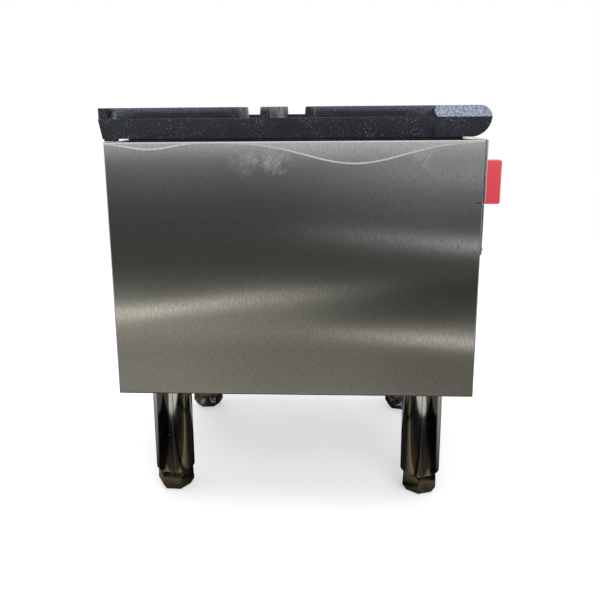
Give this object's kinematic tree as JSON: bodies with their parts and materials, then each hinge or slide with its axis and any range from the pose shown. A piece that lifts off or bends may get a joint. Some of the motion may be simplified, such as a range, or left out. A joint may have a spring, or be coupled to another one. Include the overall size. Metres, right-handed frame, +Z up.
{
  "type": "stock pot range",
  "caption": "Low gas stock pot range on legs: stainless box, cast iron top grate, ring burner, turning knobs, slide-out drip tray.",
  "frame": {"origin": "on the floor, under the middle of the whole range's box", "axes": "+Z up, -Y towards the front where the knobs are, +X towards the user's right"},
  "size_m": [0.457, 0.5486, 0.559],
  "materials": {
    "stainless": "brushed stainless steel",
    "galvanised": "zinc coated sheet, dull spangle",
    "cast_iron": "rough black casting, lightly seasoned",
    "burner_iron": "bare grey casting",
    "polished_steel": "polished stainless tube",
    "foot_metal": "dark glossy coated casting",
    "insert_metal": "die cast",
    "red_plastic": "moulded heat resistant plastic, satin gloss",
    "brass": "machined",
    "black_pipe": "black steel pipe",
    "zinc": "zinc plated"
  },
  "bodies": {
    "root": {"side_panel_left": "stainless", "side_panel_right": "stainless", "control_panel": "stainless", "front_apron": "stainless", "back_panel": "galvanised", "base_rail_front": "galvanised", "base_rail_rear": "galvanised", "leg_gussets": "galvanised", "baffle": "galvanised", "manifold_brackets": "galvanised", "burner_rail_front": "galvanised", "burner_rail_rear": "galvanised", "tray_runner_left": "galvanised", "tray_runner_right": "galvanised", "outer_burner": "burner_iron", "inner_burner": "burner_iron", "leg_front_left": "polished_steel", "leg_front_right": "polished_steel", "leg_rear_left": "polished_steel", "leg_rear_right": "polished_steel", "leg_inserts": "insert_metal", "gas_valve_left": "brass", "gas_valve_right": "brass", "orifice_left": "brass", "orifice_right": "brass", "pilot_valve": "brass", "pilot_burner": "brass", "manifold_pipe": "black_pipe", "manifold_cap": "black_pipe", "gas_elbow": "black_pipe", "inlet_pipe": "black_pipe", "apron_screws": "zinc", "leg_nuts": "zinc", "shutter_clips": "zinc", "manifold_u_bolts": "zinc", "u_bolt_nuts": "zinc", "pilot_tube": "zinc"},
    "grate": {"top_grate": "cast_iron"},
    "tray": {"drip_tray": "stainless"},
    "left_knob": {"knob_left": "red_plastic", "valve_stem_left": "zinc"},
    "right_knob": {"knob_right": "red_plastic", "valve_stem_right": "zinc"},
    "left_shutter": {"air_shutter_left": "galvanised"},
    "right_shutter": {"air_shutter_right": "galvanised"},
    "front_left_foot": {"foot_front_left": "foot_metal"},
    "front_right_foot": {"foot_front_right": "foot_metal"},
    "rear_left_foot": {"foot_rear_left": "foot_metal"},
    "rear_right_foot": {"foot_rear_right": "foot_metal"}
  },
  "joints": [
    {"name": "grate_lift", "type": "slide", "parent": "root", "child": "grate", "axis": [0, 0, 1], "range_m": [0, 0.15]},
    {"name": "tray_slide", "type": "slide", "parent": "root", "child": "tray", "axis": [0, -1, 0], "range_m": [0, 0.38]},
    {"name": "left_knob_turn", "type": "hinge", "parent": "root", "child": "left_knob", "pos_m": [-0.11, -0.22765, 0.453], "axis": [0, -1, 0], "range_deg": [0, 90]},
    {"name": "right_knob_turn", "type": "hinge", "parent": "root", "child": "right_knob", "pos_m": [0.11, -0.22765, 0.453], "axis": [0, -1, 0], "range_deg": [0, 90]},
    {"name": "left_shutter_turn", "type": "hinge", "parent": "root", "child": "left_shutter", "pos_m": [-0.11, -0.14765, 0.453], "axis": [0, -1, 0], "range_deg": [0, 80]},
    {"name": "right_shutter_turn", "type": "hinge", "parent": "root", "child": "right_shutter", "pos_m": [0.11, -0.14765, 0.453], "axis": [0, -1, 0], "range_deg": [0, 80]},
    {"name": "front_left_foot_screw", "type": "slide", "parent": "root", "child": "front_left_foot", "axis": [0, 0, -1], "range_m": [0, 0.02]},
    {"name": "front_right_foot_screw", "type": "slide", "parent": "root", "child": "front_right_foot", "axis": [0, 0, -1], "range_m": [0, 0.02]},
    {"name": "rear_left_foot_screw", "type": "slide", "parent": "root", "child": "rear_left_foot", "axis": [0, 0, -1], "range_m": [0, 0.02]},
    {"name": "rear_right_foot_screw", "type": "slide", "parent": "root", "child": "rear_right_foot", "axis": [0, 0, -1], "range_m": [0, 0.02]}
  ]
}
